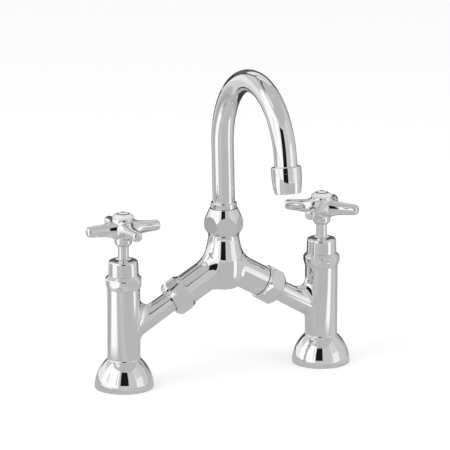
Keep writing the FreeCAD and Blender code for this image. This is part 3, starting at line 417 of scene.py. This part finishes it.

# painted reflections: sheets that only glossy rays see, so the chrome shows the floor greyer, whiter or
# darker than it is
# on the floor: name, two azimuths, inner distance, level, fading edges, height over the floor
SHEETS = (
    ("floor_all", (-180, 180), 0.0, 0.53, (0.0, 0.0), 0.0003),
    ("floor_front_left", (-44, -10), 0.05, 0.60, (0.4, 0.0), 0.0006),
    ("floor_left_white", (-90, -45), 0.17, 1.10, (0.25, 0.03), 0.0006),
    ("floor_left_dim", (-116, -90), 0.12, 0.42, (0.4, 0.0), 0.0006),
    ("floor_left_far", (-146, -122), 0.12, 0.72, (0.2, 0.0), 0.0006),
    ("floor_right_white", (56, 85), 0.14, 1.10, (0.3, 0.03), 0.0006),
    ("floor_right", (85, 117), 0.12, 0.62, (0.2, 0.0), 0.0006),
    ("floor_right_far", (115, 142), 0.12, 0.46, (0.2, 0.0), 0.0006),
    ("floor_back", (140, 220), 0.16, 0.05, (0.10, 0.0), 0.0009),
)
# painted reflections: light and dark glowing bands round the object that only the chrome's reflections show
# round the object: name, two azimuths, two elevations, level, fading edges, distance
VAULTS = (
    ("ceiling", (-180, 180), (44, 89.5), 0.54, (0.0, 0.06), 2.9),
    ("front_left", (-25, 0), (-2, 46), 0.60, (0.15, 0.0), 2.6),
    ("front_right", (-4, 54), (-2, 46), 0.62, (0.10, 0.0), 2.7),
    ("left_white", (-104, -20), (-2, 50), 1.12, (0.08, 0.08), 2.75),
    # a dimmer stripe painted into the white reflection on the left
    ("left_dim_band", (-78, -65), (4, 30), 0.84, (0.4, 0.2), 2.5),
    ("left_line", (-33, -30), (2, 47), 0.35, (0.3, 0.1), 2.45),
    ("left_far", (-146, -102), (-2, 24), 0.90, (0.08, 0.2), 2.6),
    ("left_far_high", (-146, -102), (20, 46), 0.66, (0.08, 0.1), 2.7),
    # a narrow dark stripe painted into the reflections
    ("left_dark_band", (-153, -142), (-2, 62), 0.06, (0.3, 0.05), 2.2),
    ("right_light", (50, 84), (-2, 22), 0.95, (0.12, 0.2), 2.8),
    ("right_high", (50, 84), (18, 46), 0.72, (0.10, 0.1), 2.85),
    ("right_far", (80, 132), (-2, 46), 0.64, (0.10, 0.0), 2.5),
    ("right_dim", (124, 160), (-2, 46), 0.50, (0.15, 0.0), 2.4),
    ("behind", (150, 212), (-2, 30), 0.13, (0.08, 0.05), 2.3),
    ("behind_high", (150, 212), (29, 60), 0.85, (0.08, 0.1), 2.35),
    # a narrow dark stripe painted into the reflections
    ("behind_dark_band", (148, 214), (44, 47), 0.08, (0.05, 0.3), 2.15),
    # a narrow dark stripe painted into the reflections
    ("ceiling_dark_band", (-156, -96), (58, 66), 0.08, (0.1, 0.3), 2.1),
    ("ceiling_gleam", (-96, -36), (52, 66), 0.95, (0.2, 0.3), 2.1),
    ("behind_low", (142, 218), (-2, 10), 0.03, (0.05, 0.2), 2.2),
)


def ramp(tree, source, start, end):
    """Nought at one value and one at the other, with a smooth run between."""
    node = add(tree, "ShaderNodeMapRange", interpolation_type="SMOOTHSTEP")
    node.inputs["From Min"].default_value = start
    node.inputs["From Max"].default_value = end
    tree.links.new(source, node.inputs["Value"])
    return node.outputs["Result"]


def product(tree, values):
    """All the values multiplied together."""
    total = values[0]
    for value in values[1:]:
        node = add(tree, "ShaderNodeMath", operation="MULTIPLY")
        tree.links.new(total, node.inputs[0])
        tree.links.new(value, node.inputs[1])
        total = node.outputs[0]
    return total


def panel_material(name, level, soft):
    """Even glow, varying a little, that thins out towards its edges: a painted reflection that lights
    nothing.

    soft gives the share of the width and of the height over which each edge fades.
    """
    material, tree = new_material("panel_" + name)
    output = add(tree, "ShaderNodeOutputMaterial")
    place = add(tree, "ShaderNodeUVMap")
    split = add(tree, "ShaderNodeSeparateXYZ")
    tree.links.new(place.outputs["UV"], split.inputs[0])
    edges = []
    for axis, share in zip("XY", soft):
        if share > 0:
            edges.append(ramp(tree, split.outputs[axis], 0.0, share))
            edges.append(ramp(tree, split.outputs[axis], 1.0, 1.0 - share))
    glow = add(tree, "ShaderNodeEmission")
    mottled = span(tree, noise(tree, MOTTLE_SCALE), level * (1 - MOTTLE), level * (1 + MOTTLE))
    tree.links.new(mottled, glow.inputs["Strength"])
    if not edges:
        tree.links.new(glow.outputs[0], output.inputs["Surface"])
        return material
    mix = add(tree, "ShaderNodeMixShader")
    clear = add(tree, "ShaderNodeBsdfTransparent")
    tree.links.new(product(tree, edges), mix.inputs[0])
    tree.links.new(clear.outputs[0], mix.inputs[1])
    tree.links.new(glow.outputs[0], mix.inputs[2])
    tree.links.new(mix.outputs[0], output.inputs["Surface"])
    return material


def cloth(name, rows, level, soft):
    """Glowing panel over rows of points, a painted reflection; only reflections show it and it lights
    nothing.
    """
    across, down = len(rows[0]) - 1, len(rows) - 1
    points = [point for row in rows for point in row]
    faces = []
    for row in range(down):
        for step in range(across):
            corner = row * (across + 1) + step
            faces.append((corner, corner + 1, corner + across + 2, corner + across + 1))
    data = bpy.data.meshes.new(name)
    data.from_pydata(points, [], faces)
    layer = data.uv_layers.new(name="cloth")
    for loop in data.loops:
        row, step = divmod(loop.vertex_index, across + 1)
        layer.data[loop.index].uv = (step / across, row / down)
    piece = link(name, data)
    # hidden from the camera, diffuse rays and shadows, its glow is a painted reflection and lights nothing
    piece.visible_camera = False
    piece.visible_diffuse = False
    piece.visible_shadow = False
    data.materials.append(panel_material(name, level, soft))


def around(azimuth, radius, z):
    """Point of the studio; the azimuth is counted from the camera's, to the right as it sees things."""
    a = CAMERA_AZIMUTH + math.radians(azimuth)
    return (math.sin(a) * radius, -math.cos(a) * radius, z)


def places(start, end, steps):
    """Evenly spaced numbers from start to end."""
    return [start + (end - start) * step / steps for step in range(steps + 1)]


def vault(name, turns, rises, level, soft, radius):
    """Panel on a ball round the object, between two azimuths and two elevations."""
    rows = []
    for rise in places(*rises, RISE_STEPS):
        flat = radius * math.cos(math.radians(rise))
        height = CAMERA_TARGET.z + radius * math.sin(math.radians(rise))
        rows.append([around(turn, flat, height) for turn in places(*turns, ROUND_STEPS)])
    cloth(name, rows, level, soft)


def sheet(name, turns, inner, level, soft, z):
    """Panel that lies on the floor between two azimuths, from its inner distance out to FLOOR_REACH."""
    across = places(*turns, ROUND_STEPS)
    rows = [[around(turn, radius, z) for turn in across] for radius in (inner, FLOOR_REACH)]
    cloth(name, rows, level, soft)


def card(name, turns, heights, radius, level, steps=24):
    """Upright curved panel with sharp edges between two azimuths and two heights."""
    rows = [[around(turn, radius, height) for turn in places(*turns, steps)] for height in heights]
    cloth(name, rows, level, (0.0, 0.0))


def make_studio():
    """Floor, world, lamps and the panels of painted reflection."""
    make_floor()
    make_world()
    for values in LAMPS:
        lamp(*values)
    for values in SHEETS:
        sheet(*values)
    for values in VAULTS:
        vault(*values)
    # black card: a painted dark reflection, seen only in the chrome
    card("black_card", (-18, 13), (0.12, 0.85), 0.80, 0.01)


make_studio()

# ---- render settings that the scene owns ----
bpy.context.scene.view_settings.view_transform = "Standard"
